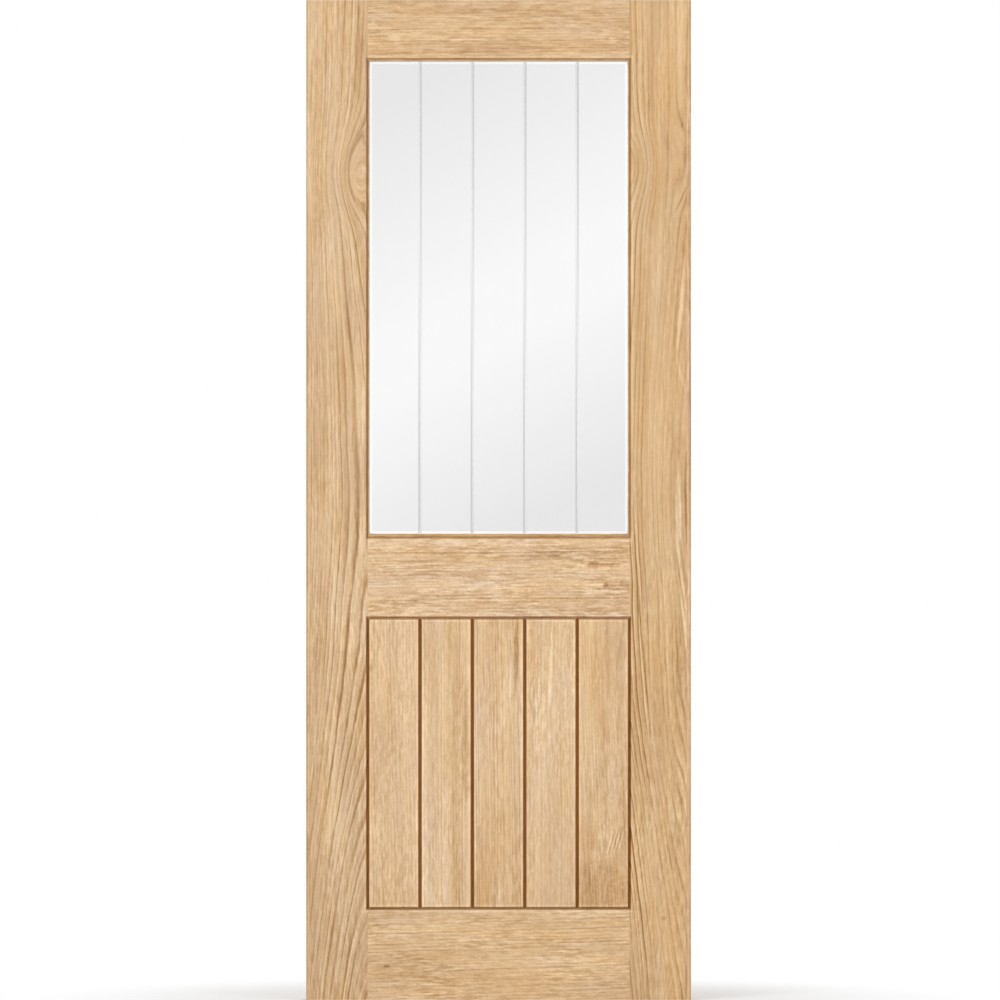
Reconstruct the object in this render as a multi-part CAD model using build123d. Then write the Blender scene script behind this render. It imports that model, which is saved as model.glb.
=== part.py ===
"""Half-glazed interior door leaf in oak, in millimetres.

Two stiles run the full height, with a solid lipping on each outer edge. Three rails stand between
them on stub tenons. Five tongue-and-grooved boards fill the lower opening, and their V-joints are
repeated as V-cut lines in the pane that fills the upper one. The pane is bedded on a seal and held
by mitred beads, on both faces of the leaf.

X runs across the leaf from the hanging edge, Y through its thickness with the front at -Y, and Z
up from the foot. The origin is on the face of the hanging edge, at mid-thickness, at the foot.
"""

import os

from build123d import *

# The leaf
LEAF_WIDTH = 762.0
LEAF_HEIGHT = 1981.0
LEAF_THICKNESS = 35.0

# Widths of the members as seen from the front
STILE_WIDTH = 121.5
TOP_RAIL_WIDTH = 117.5
MIDDLE_RAIL_WIDTH = 159.0
BOTTOM_RAIL_WIDTH = 181.0
PANEL_HEIGHT = 576.0

# Outer edges
LIPPING_WIDTH = 8.0
LIPPING_ROUND = 1.5

# V-joints: each arris that borders one is bevelled by this leg, at 45 degrees
V_LEG = 3.3

# Joints between the members, which share one groove width with the panel
TENON_THICKNESS = 10.0
TENON_LENGTH = 11.0
TENON_SHOULDER = 15.0
GROOVE_SIDE_CLEARANCE = 0.1
GROOVE_END_CLEARANCE = 1.0

# Boards of the lower panel
BOARD_COUNT = 5
BOARD_SIDE_GAP = 0.5
BOARD_RECESS = 0.5
BOARD_TENON_LENGTH = 10.0
TONGUE_THICKNESS = 8.0
TONGUE_LENGTH = 8.0
TONGUE_NOSE = 1.0

# Beads: the bottom one stands higher than the others
BEAD_WIDTH = 3.4
BOTTOM_BEAD_WIDTH = 7.6
BEAD_RECESS = 0.5
BEAD_BEVEL = 2.2
BEAD_SIGHT_ROUND = 0.6

# Pane, and the seal that beds it on each side
PANE_THICKNESS = 4.0
PANE_EDGE_CLEARANCE = 2.0
PANE_ARRIS = 0.5
PANE_LINE_WIDTH = 7.0
PANE_LINE_DEPTH = 0.5
SEAL_THICKNESS = 2.0
SEAL_LIP = 1.0
SEAL_LIP_BEVEL = 0.5

# Reach of a cutter past the surface that it cuts
OVERCUT = 5.0
# How near an edge or face must lie to the position at which it is looked for
NEAR = 0.01

# Levels and lines that follow from the sizes above
FACE_Y = LEAF_THICKNESS / 2
OPENING_LEFT = STILE_WIDTH
OPENING_RIGHT = LEAF_WIDTH - STILE_WIDTH
PANEL_BOTTOM = BOTTOM_RAIL_WIDTH
PANEL_TOP = PANEL_BOTTOM + PANEL_HEIGHT
GLAZING_BOTTOM = PANEL_TOP + MIDDLE_RAIL_WIDTH
GLAZING_TOP = LEAF_HEIGHT - TOP_RAIL_WIDTH
BOARD_PITCH = (OPENING_RIGHT - OPENING_LEFT) / BOARD_COUNT
GROOVE_WIDTH = TENON_THICKNESS + 2 * GROOVE_SIDE_CLEARANCE
GROOVE_DEPTH = TENON_LENGTH + GROOVE_END_CLEARANCE
CENTRE_PLANE = Plane.YZ.offset(LEAF_WIDTH / 2)


def block(x, y, z):
    """The box between three pairs of limits."""
    size = [high - low for low, high in (x, y, z)]
    middle = [(high + low) / 2 for low, high in (x, y, z)]
    return Pos(*middle) * Box(*size)


def through_middle(thickness):
    """Limits in Y of a layer of this thickness on the leaf's middle plane."""
    return (-thickness / 2, thickness / 2)


def edges_at(solid, y):
    """The edges of a solid that lie at this Y."""
    return solid.edges().filter_by_position(Axis.Y, y - NEAR, y + NEAR)


def hole_edges(solid, y):
    """The edges round the hole in a solid's face at this Y."""
    face = solid.faces().filter_by(Axis.Y).filter_by_position(Axis.Y, y - NEAR, y + NEAR)[0]
    return face.inner_wires()[0].edges()


def splayed_cutter(x, z, side):
    """A tool that bevels the members round an opening on one face, with mitred corners.

    It is as large as the opening plus the bevel at the surface, and the opening itself a bevel
    deep. Side is -1 for the front face and 1 for the back.
    """
    bottom_y = side * (FACE_Y - V_LEG)
    outside_y = side * (FACE_Y + OVERCUT)
    grown_x = (x[0] - V_LEG, x[1] + V_LEG)
    grown_z = (z[0] - V_LEG, z[1] + V_LEG)
    cutter = block(grown_x, sorted((bottom_y, outside_y)), grown_z)
    return chamfer(edges_at(cutter, bottom_y), V_LEG)


def opening_cutters():
    """The bevelling tools of both openings, on both faces."""
    across = (OPENING_LEFT, OPENING_RIGHT)
    openings = [(PANEL_BOTTOM, PANEL_TOP), (GLAZING_BOTTOM, GLAZING_TOP)]
    return [splayed_cutter(across, z, side) for z in openings for side in (-1, 1)]


def tenon_span(bottom, top):
    """Limits in Z of a rail's stub tenon, inside its shoulders."""
    return (bottom + TENON_SHOULDER, top - TENON_SHOULDER)


def left_stile(cutters):
    """The hanging stile: its core, mortised for the rails and grooved for the panel."""
    stile = block((LIPPING_WIDTH, STILE_WIDTH), through_middle(LEAF_THICKNESS), (0, LEAF_HEIGHT))
    slot_x = (STILE_WIDTH - GROOVE_DEPTH, STILE_WIDTH + OVERCUT)
    slot_y = through_middle(GROOVE_WIDTH)
    lowest = tenon_span(0, PANEL_BOTTOM)[0] - GROOVE_END_CLEARANCE
    highest = tenon_span(PANEL_TOP, GLAZING_BOTTOM)[1] + GROOVE_END_CLEARANCE
    top_low, top_high = tenon_span(GLAZING_TOP, LEAF_HEIGHT)
    stile -= block(slot_x, slot_y, (lowest, highest))
    stile -= block(slot_x, slot_y, (top_low - GROOVE_END_CLEARANCE, top_high + GROOVE_END_CLEARANCE))
    for cutter in cutters:
        stile -= cutter
    return stile


def rail(bottom, top, cutters, grooved_edges=()):
    """A rail with a stub tenon at each end, and a groove along each edge that holds the panel."""
    body = block((OPENING_LEFT, OPENING_RIGHT), through_middle(LEAF_THICKNESS), (bottom, top))
    tenon_x = (OPENING_LEFT - TENON_LENGTH, OPENING_RIGHT + TENON_LENGTH)
    body += block(tenon_x, through_middle(TENON_THICKNESS), tenon_span(bottom, top))
    for level in grooved_edges:
        groove_z = (level - GROOVE_DEPTH, level + GROOVE_DEPTH)
        body -= block((OPENING_LEFT, OPENING_RIGHT), through_middle(GROOVE_WIDTH), groove_z)
    for cutter in cutters:
        body -= cutter
    return body


def left_lipping():
    """The solid strip on the outer edge of the hanging stile, with eased arrises."""
    strip = block((0, LIPPING_WIDTH), through_middle(LEAF_THICKNESS), (0, LEAF_HEIGHT))
    arrises = strip.edges().filter_by(Axis.Z).filter_by_position(Axis.X, -NEAR, NEAR)
    return fillet(arrises, LIPPING_ROUND)


def tongue(x, thickness, z):
    """A tongue along a board's edge, with its nose bevelled at the end away from the board."""
    strip = block(x, through_middle(thickness), z)
    long_edges = strip.edges().filter_by(Axis.Z)
    return chamfer(long_edges, TONGUE_NOSE)


def board(index):
    """One board of the lower panel, counted from the left.

    Its ends and the panel's outer edges are tenoned into the frame. Between boards, a tongue on
    the right edge runs in a groove on the next board's left edge. The V-joints come from bevels
    round both faces.
    """
    left = OPENING_LEFT + index * BOARD_PITCH + BOARD_SIDE_GAP
    right = left + BOARD_PITCH - 2 * BOARD_SIDE_GAP
    bottom, top = PANEL_BOTTOM + BOARD_SIDE_GAP, PANEL_TOP - BOARD_SIDE_GAP
    half = FACE_Y - BOARD_RECESS
    body = block((left, right), (-half, half), (bottom, top))
    body = chamfer(edges_at(body, -half) + edges_at(body, half), V_LEG)

    end_z = (PANEL_BOTTOM - BOARD_TENON_LENGTH, PANEL_TOP + BOARD_TENON_LENGTH)
    body += block((left, right), through_middle(TENON_THICKNESS), end_z)

    root = TENON_THICKNESS
    if index == 0:
        reach = (OPENING_LEFT - BOARD_TENON_LENGTH, left + root)
        body += tongue(reach, TENON_THICKNESS, (bottom, top))
    else:
        seat_x = (left - OVERCUT, left + TONGUE_LENGTH + GROOVE_END_CLEARANCE)
        seat_y = through_middle(TONGUE_THICKNESS + 2 * GROOVE_SIDE_CLEARANCE)
        body -= block(seat_x, seat_y, (bottom, top))
    if index == BOARD_COUNT - 1:
        reach = (right - root, OPENING_RIGHT + BOARD_TENON_LENGTH)
        body += tongue(reach, TENON_THICKNESS, (bottom, top))
    else:
        reach = (right - root, right + 2 * BOARD_SIDE_GAP + TONGUE_LENGTH)
        body += tongue(reach, TONGUE_THICKNESS, (bottom, top))
    return body


def sight_size(inset):
    """Limits in X and Z of the sight opening, moved in from the beads by an inset."""
    x = (OPENING_LEFT + BEAD_WIDTH + inset, OPENING_RIGHT - BEAD_WIDTH - inset)
    z = (GLAZING_BOTTOM + BOTTOM_BEAD_WIDTH + inset, GLAZING_TOP - BEAD_WIDTH - inset)
    return x, z


def bead_outlines():
    """Each bead's outline in X and Z. They are mitred from the corners of the opening.

    Where the bottom bead stands higher than its mitre, it ends square against the side beads.
    """
    bottom, top = GLAZING_BOTTOM, GLAZING_TOP
    (left, right), (bottom_sight, top_sight) = sight_size(0)
    low_left, low_right = (left, bottom + BEAD_WIDTH), (right, bottom + BEAD_WIDTH)
    high_left, high_right = (left, top_sight), (right, top_sight)
    opening_foot = [(OPENING_LEFT, bottom), (OPENING_RIGHT, bottom)]
    opening_head = [(OPENING_RIGHT, top), (OPENING_LEFT, top)]
    return {
        "bottom": opening_foot + [low_right, (right, bottom_sight), (left, bottom_sight), low_left],
        "top": opening_head + [high_left, high_right],
        "left": [opening_head[1], opening_foot[0], low_left, high_left],
        "right": [opening_foot[1], opening_head[0], high_right, low_right],
    }


def beads(side, face_name):
    """The beads of one face by node name, bevelled along the V-joint and rounded at the sight edge."""
    face_y = side * (FACE_Y - BEAD_RECESS)
    seat_y = side * (PANE_THICKNESS / 2 + SEAL_THICKNESS)
    opening_x, opening_z = (OPENING_LEFT, OPENING_RIGHT), (GLAZING_BOTTOM, GLAZING_TOP)
    filling = block(opening_x, sorted((face_y, seat_y)), opening_z)
    filling = chamfer(edges_at(filling, face_y), BEAD_BEVEL)
    centre = Vertex(LEAF_WIDTH / 2, face_y, (GLAZING_BOTTOM + GLAZING_TOP) / 2)
    made = {}
    for place, outline in bead_outlines().items():
        face = make_face(Polyline([Plane.XZ.from_local_coords(point) for point in outline], close=True))
        bead = filling & extrude(face, LEAF_THICKNESS, both=True)
        sight_edge = edges_at(bead, face_y).sort_by_distance(centre)[0]
        made[f"{face_name}_bead_{place}"] = bead.fillet(BEAD_SIGHT_ROUND, [sight_edge])
    return made


def pane():
    """The pane, with a V-cut line in its front face over each joint between boards."""
    half = PANE_THICKNESS / 2
    x = (OPENING_LEFT + PANE_EDGE_CLEARANCE, OPENING_RIGHT - PANE_EDGE_CLEARANCE)
    z = (GLAZING_BOTTOM + PANE_EDGE_CLEARANCE, GLAZING_TOP - PANE_EDGE_CLEARANCE)
    sheet = block(x, (-half, half), z)
    sheet = chamfer(edges_at(sheet, -half) + edges_at(sheet, half), PANE_ARRIS)
    for joint in range(1, BOARD_COUNT):
        line_x = OPENING_LEFT + joint * BOARD_PITCH
        profile = [
            (line_x - PANE_LINE_WIDTH / 2, -half),
            (line_x, -half + PANE_LINE_DEPTH),
            (line_x + PANE_LINE_WIDTH / 2, -half),
        ]
        cut = extrude(make_face(Polyline(profile, close=True)), LEAF_HEIGHT)
        sheet -= cut
    return sheet


def seal(side):
    """The seal between the pane and the beads of one face, with a lip that shows past the beads."""
    pane_y = side * PANE_THICKNESS / 2
    bead_y = side * (PANE_THICKNESS / 2 + SEAL_THICKNESS)
    x = (OPENING_LEFT + PANE_EDGE_CLEARANCE, OPENING_RIGHT - PANE_EDGE_CLEARANCE)
    z = (GLAZING_BOTTOM + PANE_EDGE_CLEARANCE, GLAZING_TOP - PANE_EDGE_CLEARANCE)
    strip = block(x, sorted((pane_y, bead_y)), z)
    lip_x, lip_z = sight_size(SEAL_LIP)
    strip -= block(lip_x, through_middle(LEAF_THICKNESS), lip_z)
    return strip.chamfer(SEAL_LIP_BEVEL, None, hole_edges(strip, bead_y))


def frame_pieces():
    """Stiles, rails and lippings by node name."""
    cutters = opening_cutters()
    stile = left_stile(cutters)
    lipping = left_lipping()
    return {
        "left_stile": stile,
        "right_stile": mirror(stile, about=CENTRE_PLANE),
        "left_edge_lipping": lipping,
        "right_edge_lipping": mirror(lipping, about=CENTRE_PLANE),
        "bottom_rail": rail(0, PANEL_BOTTOM, cutters, [PANEL_BOTTOM]),
        "middle_rail": rail(PANEL_TOP, GLAZING_BOTTOM, cutters, [PANEL_TOP]),
        "top_rail": rail(GLAZING_TOP, LEAF_HEIGHT, cutters),
    }


def main():
    pieces = frame_pieces()
    for index in range(BOARD_COUNT):
        pieces[f"panel_board_{index + 1}"] = board(index)
    pieces["glass_pane"] = pane()
    for side, face_name in ((-1, "front"), (1, "back")):
        pieces[f"{face_name}_glazing_seal"] = seal(side)
        pieces.update(beads(side, face_name))
    os.makedirs("parts", exist_ok=True)
    for name, shape in pieces.items():
        export_step(shape, f"parts/{name}.step")


main()
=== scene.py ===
"""Looks of the half-glazed oak door leaf: eased pieces, oak, glass, light and camera.

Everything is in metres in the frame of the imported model: X across from the hanging edge, the front
at -Y, Z up from the foot. The oak is worked out in millimetres.
"""

import math

import bmesh
import bpy
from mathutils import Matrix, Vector


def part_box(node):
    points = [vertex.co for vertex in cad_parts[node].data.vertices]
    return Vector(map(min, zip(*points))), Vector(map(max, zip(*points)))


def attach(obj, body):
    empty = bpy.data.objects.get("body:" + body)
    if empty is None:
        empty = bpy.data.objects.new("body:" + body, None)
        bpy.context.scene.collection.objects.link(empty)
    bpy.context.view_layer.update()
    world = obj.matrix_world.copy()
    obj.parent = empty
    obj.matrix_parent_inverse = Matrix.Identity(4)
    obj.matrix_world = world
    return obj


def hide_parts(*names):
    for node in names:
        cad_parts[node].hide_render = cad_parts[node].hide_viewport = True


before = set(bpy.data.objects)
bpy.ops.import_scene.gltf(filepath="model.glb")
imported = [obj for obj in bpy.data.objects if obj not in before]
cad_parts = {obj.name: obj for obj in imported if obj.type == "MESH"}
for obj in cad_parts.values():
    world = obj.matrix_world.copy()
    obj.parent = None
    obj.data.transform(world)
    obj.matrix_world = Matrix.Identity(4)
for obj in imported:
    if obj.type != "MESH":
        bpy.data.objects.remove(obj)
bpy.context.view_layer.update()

LEAF_WIDTH = 0.762
LEAF_HEIGHT = 1.981
LEAF_THICKNESS = 0.035
MIDDLE_X = LEAF_WIDTH / 2

# Half the leaf's thickness and the outlines of its two openings, in mm
FACE_MM = 17.5
OPENING_X = (121.5, 640.5)
PANEL_Z = (181.0, 757.0)
GLAZING_Z = (916.0, 1863.5)
BOARDS = 5
BOARD_PITCH_MM = (OPENING_X[1] - OPENING_X[0]) / BOARDS
PANEL_OUTLINE = (OPENING_X, PANEL_Z)
GLAZING_OUTLINE = (OPENING_X, GLAZING_Z)


# Node helpers


class Tree:
    """Adds nodes to a tree and returns their outputs, so that a formula reads as one."""

    def __init__(self, tree):
        self.tree = tree

    def node(self, kind, **settings):
        made = self.tree.nodes.new(kind)
        for name, value in settings.items():
            setattr(made, name, value)
        return made

    def feed(self, socket, value):
        if isinstance(value, bpy.types.NodeSocket):
            self.tree.links.new(value, socket)
        elif value is not None:
            socket.default_value = value

    def math(self, operation, a, b=None, c=None):
        made = self.node("ShaderNodeMath", operation=operation)
        for socket, value in zip(made.inputs, (a, b, c)):
            self.feed(socket, value)
        return made.outputs[0]

    def add(self, a, b):
        return self.math("ADD", a, b)

    def sub(self, a, b):
        return self.math("SUBTRACT", a, b)

    def mul(self, a, b):
        return self.math("MULTIPLY", a, b)

    def mul_add(self, a, b, c):
        return self.math("MULTIPLY_ADD", a, b, c)

    def vector(self, x, y, z):
        made = self.node("ShaderNodeCombineXYZ")
        for socket, value in zip(made.inputs, (x, y, z)):
            self.feed(socket, value)
        return made.outputs[0]

    def noise(self, vector, detail=2.0, roughness=0.5, scale=1.0):
        """Noise from -1 to 1 or so, centred on 0."""
        made = self.node("ShaderNodeTexNoise", noise_dimensions="3D")
        self.feed(made.inputs["Vector"], vector)
        self.feed(made.inputs["Scale"], scale)
        self.feed(made.inputs["Detail"], detail)
        self.feed(made.inputs["Roughness"], roughness)
        return self.mul_add(made.outputs["Fac"], 2.0, -1.0)

    def drawn_noise(self, place, scales, detail=2.0, roughness=0.5):
        """Noise whose waves are drawn out: each axis of the place has a scale of its own."""
        drawn = [self.mul(axis, scale) for axis, scale in zip(place, scales)]
        return self.noise(self.vector(*drawn), detail, roughness)

    def map_range(self, value, low, high, to_low=0.0, to_high=1.0, smooth=True):
        kind = "SMOOTHSTEP" if smooth else "LINEAR"
        made = self.node("ShaderNodeMapRange", interpolation_type=kind)
        for name, given in (
            ("Value", value),
            ("From Min", low),
            ("From Max", high),
            ("To Min", to_low),
            ("To Max", to_high),
        ):
            self.feed(made.inputs[name], given)
        return made.outputs[0]

    def mix_colour(self, factor, a, b, blend="MIX"):
        made = self.node("ShaderNodeMix", data_type="RGBA", blend_type=blend)
        self.feed(made.inputs[0], factor)
        self.feed(made.inputs[6], a)
        self.feed(made.inputs[7], b)
        return made.outputs[2]

    def ramp(self, value, stops):
        made = self.node("ShaderNodeValToRGB")
        elements = made.color_ramp.elements
        while len(elements) < len(stops):
            elements.new(0.5)
        for element, (position, colour) in zip(elements, stops):
            element.position = position
            element.color = colour
        self.feed(made.inputs[0], value)
        return made.outputs[0]

    def curve(self, value, points, in_scale, out_scale):
        """A smooth curve through points, whose axes run to in_scale and out_scale."""
        made = self.node("ShaderNodeFloatCurve")
        curve = made.mapping.curves[0]
        while len(curve.points) < len(points):
            curve.points.new(0.5, 0.5)
        for point, (x, y) in zip(curve.points, points):
            point.location = (x / in_scale, y / out_scale)
            point.handle_type = "AUTO"
        made.mapping.use_clip = False
        made.mapping.update()
        self.feed(made.inputs["Value"], self.mul(value, 1.0 / in_scale))
        return self.mul(made.outputs[0], out_scale)

    def bump(self, height, strength, distance):
        made = self.node("ShaderNodeBump")
        made.inputs["Strength"].default_value = strength
        made.inputs["Distance"].default_value = distance
        self.feed(made.inputs["Height"], height)
        return made.outputs[0]

    def mix_shader(self, factor, a, b):
        made = self.node("ShaderNodeMixShader")
        self.feed(made.inputs[0], factor)
        self.tree.links.new(a.outputs[0], made.inputs[1])
        self.tree.links.new(b.outputs[0], made.inputs[2])
        return made

    def place(self):
        """The point's place in its object, in metres."""
        return self.node("ShaderNodeTexCoord").outputs["Object"]

    def seen(self):
        """1 for a ray that shows something to the camera: straight, through glass or mirrored."""
        path = self.node("ShaderNodeLightPath").outputs
        seen = self.math("MAXIMUM", path["Is Camera Ray"], path["Is Transmission Ray"])
        return self.math("MAXIMUM", seen, path["Is Glossy Ray"])

    def finish(self, shader, kind="ShaderNodeOutputMaterial"):
        out = self.node(kind)
        self.tree.links.new(shader.outputs[0], out.inputs["Surface"])


def new_material(name):
    """A material with no nodes yet, and the helper that adds them."""
    material = bpy.data.materials.new(name)
    material.use_nodes = True
    material.node_tree.nodes.clear()
    return material, Tree(material.node_tree)


def srgb(r, g, b):
    """A colour given as it shows on screen, from 0 to 255, as the linear one that nodes use."""
    linear = []
    for channel in (r, g, b):
        level = channel / 255
        linear.append(level / 12.92 if level <= 0.04045 else ((level + 0.055) / 1.055) ** 2.4)
    return (*linear, 1.0)


def grey(level):
    return (level, level, level, 1.0)


# Oak

# Tone runs from 0, dark, to 1, pale. What each layer of the grain adds to its middle:
MIDDLE_TONE = 0.56
EARLY_TONE = -0.42
LATE_TONE = 0.14
INNER_TONE = 0.07
STREAK_TONE = 0.066
DASH_TONE = 0.083
FLECK_TONE = 0.038
FIBRE_TONE = 0.08
BROAD_TONE = 0.26
PATCH_TONE = 0.14
RAY_TONE = 0.12
PORE_TONE = -0.14

# Waves a millimetre of each layer, across and along the grain
STREAK_WAVES = (0.20, 0.014)
DASH_WAVES = (0.21, 0.042)
FLECK_WAVES = (0.30, 0.16)
LIVELY_WAVES = (0.028, 0.0065)
FIBRE_WAVES = (3.2, 0.05)
BROAD_WAVES = (0.035, 0.0018)
PATCH_WAVES = (0.012, 0.004)
PORE_WAVES = (1.7, 0.11)
CAST_STREAK_WAVES = (0.11, 0.009)
CAST_PATCH_WAVES = (0.024, 0.0042)
# Of the lines within the years: out from the pith and along
INNER_WAVES = (0.42, 0.0045)
# Of the rays: across, through and along
RAY_WAVES = (0.30, 1.1, 0.13)

# Where early wood starts and fades, and late wood comes, as parts of a year
EARLY_START = (0.0, 0.12)
EARLY_FADE = (0.12, 0.46)
LATE_COMES = (0.62, 0.95)
# How boldly a year shows: at least, how much more at most, and how rare the boldest are
YEAR_LEAST = 0.30
YEAR_MORE = 0.9
YEAR_RARITY = 1.4
# Waves in which a year fades and comes back: to a year, and to a mm along the grain
FADING_WAVES = (0.6, 0.005)
# Noise at which a crisp layer is fully dark or pale
CRISP = 0.42
CRISP_SHORT = 0.40
# Noise between which the grain goes from calm to lively, and its strength there
LIVELY_NOISE = (-0.35, 0.45)
LIVELY_STRENGTH = (0.6, 1.45)
# Noise over which a pore opens, how much less it takes in early wood, and how sharp its rim is
PORE_GATE = 0.52
PORE_EARLY = -0.34
PORE_RIM = 0.16
RAY_NOISE = (0.22, 0.55)

TONE_COLOURS = [
    (0.0, srgb(164, 122, 75)),
    (0.25, srgb(191, 152, 105)),
    (0.5, srgb(215, 180, 137)),
    (0.75, srgb(234, 205, 165)),
    (1.0, srgb(249, 229, 194)),
]
# A yellower and a pinker cast, and how far its streaks and patches swing it
CAST_COLOURS = [(0.2, (1.0, 0.97, 0.83, 1.0)), (0.8, (0.94, 0.97, 1.0, 1.0))]
CAST_STREAKS = 0.42
CAST_PATCHES = 0.45
# The dark stain of the V-joints' flanks, which also paints the shade in the grooves
STAIN_SHADE_DARK = srgb(110, 63, 20)
STAIN_SHADE_PALE = srgb(158, 103, 48)
STAIN_SHADE_TONES = (0.1, 0.9)

LACQUER_ROUGHNESS = 0.44
PORE_ROUGHNESS = 0.2
FIBRE_ROUGHNESS = 0.03
PORE_HEIGHT = -1.0
EARLY_HEIGHT = -0.35
FIBRE_HEIGHT = 0.18

OAK_INPUTS = {
    "Year": 0.0,
    "Ring": 0.0,
    "Across": 0.0,
    "Through": 0.0,
    "Along": 0.0,
    "Ring Strength": 1.0,
    "Inner": 1.0,
    "Streaks": 1.0,
    "Dashes": 1.0,
    "Broad": 1.0,
    "Flecks": 1.0,
    "Tone": 0.0,
    "Stain And Shade": 0.0,
}


def build_oak_group():
    """Oak from a point's year, ring distance and place across, through and along, in mm."""
    tree = bpy.data.node_groups.new("oak", "ShaderNodeTree")
    sockets = tree.interface
    for name, value in OAK_INPUTS.items():
        socket = sockets.new_socket(name, in_out="INPUT", socket_type="NodeSocketFloat")
        socket.default_value = value
    tint = sockets.new_socket("Tint", in_out="INPUT", socket_type="NodeSocketColor")
    tint.default_value = grey(1.0)
    sockets.new_socket("Color", in_out="OUTPUT", socket_type="NodeSocketColor")
    sockets.new_socket("Roughness", in_out="OUTPUT", socket_type="NodeSocketFloat")
    sockets.new_socket("Height", in_out="OUTPUT", socket_type="NodeSocketFloat")

    t = Tree(tree)
    given = t.node("NodeGroupInput").outputs
    year, along = given["Year"], given["Along"]
    place = (given["Across"], given["Through"], along)

    def grain(waves, detail=2.0, roughness=0.5):
        """Noise drawn out along the grain."""
        across_waves, along_waves = waves
        return t.drawn_noise(place, (across_waves, across_waves, along_waves), detail, roughness)

    def crisp(field, reach):
        """The same field with clearer edges, from -1 to 1."""
        return t.map_range(field, -reach, reach, -1.0, 1.0)

    # Early wood starts sharply and fades, and the late wood before the next year's is pale
    part = t.math("FRACT", year)
    early = t.mul(t.map_range(part, *EARLY_START), t.map_range(part, *EARLY_FADE, 1.0, 0.0))
    late = t.map_range(part, *LATE_COMES)
    lottery = t.node("ShaderNodeTexWhiteNoise", noise_dimensions="1D")
    t.feed(lottery.inputs["W"], t.math("FLOOR", year))
    strength = t.math("POWER", lottery.outputs["Value"], YEAR_RARITY)
    strength = t.mul_add(strength, YEAR_MORE, YEAR_LEAST)
    fading = t.vector(t.mul(year, FADING_WAVES[0]), t.mul(along, FADING_WAVES[1]), 0.0)
    strength = t.mul(strength, t.add(t.noise(fading, 1.0), 1.0))
    strength = t.mul(strength, given["Ring Strength"])
    ring_tone = t.mul(t.mul_add(late, LATE_TONE, t.mul(early, EARLY_TONE)), strength)

    # Lines within the years, which follow the rings
    inner = t.vector(t.mul(given["Ring"], INNER_WAVES[0]), t.mul(along, INNER_WAVES[1]), 0.0)
    inner = crisp(t.noise(inner), CRISP)
    # Streaks and short dashes along the grain, and flecks that break the dashes up
    streak = crisp(grain(STREAK_WAVES), CRISP)
    dash = crisp(grain(DASH_WAVES, roughness=0.42), CRISP_SHORT)
    fleck = crisp(grain(FLECK_WAVES, 1.0), CRISP_SHORT)
    # Grain is lively in places and calm in others
    lively = t.map_range(grain(LIVELY_WAVES, 1.0), *LIVELY_NOISE, *LIVELY_STRENGTH)
    # Fibres, too fine to see from afar, and broad streaks and patches of tone
    fibre = grain(FIBRE_WAVES, roughness=0.6)
    broad = grain(BROAD_WAVES)
    patch = grain(PATCH_WAVES, 1.0)

    # Pores: open vessels, dense in early wood
    pore_gate = t.mul_add(early, PORE_EARLY, PORE_GATE)
    pore = t.sub(grain(PORE_WAVES, roughness=0.6), pore_gate)
    pore = t.map_range(pore, 0.0, PORE_RIM)

    # Rays: pale flecks that cross the grain where it is cut towards the pith
    ray = t.mul(t.map_range(t.drawn_noise(place, RAY_WAVES), *RAY_NOISE), given["Flecks"])

    tone = t.add(MIDDLE_TONE, given["Tone"])
    for field, share in (
        (ring_tone, 1.0),
        (inner, t.mul(given["Inner"], INNER_TONE)),
        (streak, t.mul(t.mul(given["Streaks"], STREAK_TONE), lively)),
        (dash, t.mul(t.mul(given["Dashes"], DASH_TONE), lively)),
        (fleck, t.mul(given["Dashes"], FLECK_TONE)),
        (fibre, FIBRE_TONE),
        (broad, t.mul(given["Broad"], BROAD_TONE)),
        (patch, PATCH_TONE),
        (ray, RAY_TONE),
        (pore, PORE_TONE),
    ):
        tone = t.mul_add(field, share, tone)
    colour = t.ramp(tone, TONE_COLOURS)
    cast = t.mul_add(grain(CAST_STREAK_WAVES), CAST_STREAKS, 0.5)
    cast = t.mul_add(grain(CAST_PATCH_WAVES, 1.0), CAST_PATCHES, cast)
    colour = t.mix_colour(1.0, colour, t.ramp(cast, CAST_COLOURS), "MULTIPLY")
    colour = t.mix_colour(1.0, colour, given["Tint"], "MULTIPLY")
    # The stain colour, which also paints the shade in the V-joints
    stain_and_shade = t.mix_colour(t.map_range(tone, *STAIN_SHADE_TONES), STAIN_SHADE_DARK, STAIN_SHADE_PALE)
    colour = t.mix_colour(given["Stain And Shade"], colour, stain_and_shade)

    height = t.add(t.mul(pore, PORE_HEIGHT), t.mul(early, EARLY_HEIGHT))
    height = t.mul_add(fibre, FIBRE_HEIGHT, height)
    rough = t.mul_add(pore, PORE_ROUGHNESS, LACQUER_ROUGHNESS)
    rough = t.add(rough, t.mul(fibre, FIBRE_ROUGHNESS))

    out = t.node("NodeGroupOutput")
    t.feed(out.inputs["Color"], colour)
    t.feed(out.inputs["Roughness"], rough)
    t.feed(out.inputs["Height"], height)
    return tree


oak_group = build_oak_group()
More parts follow.
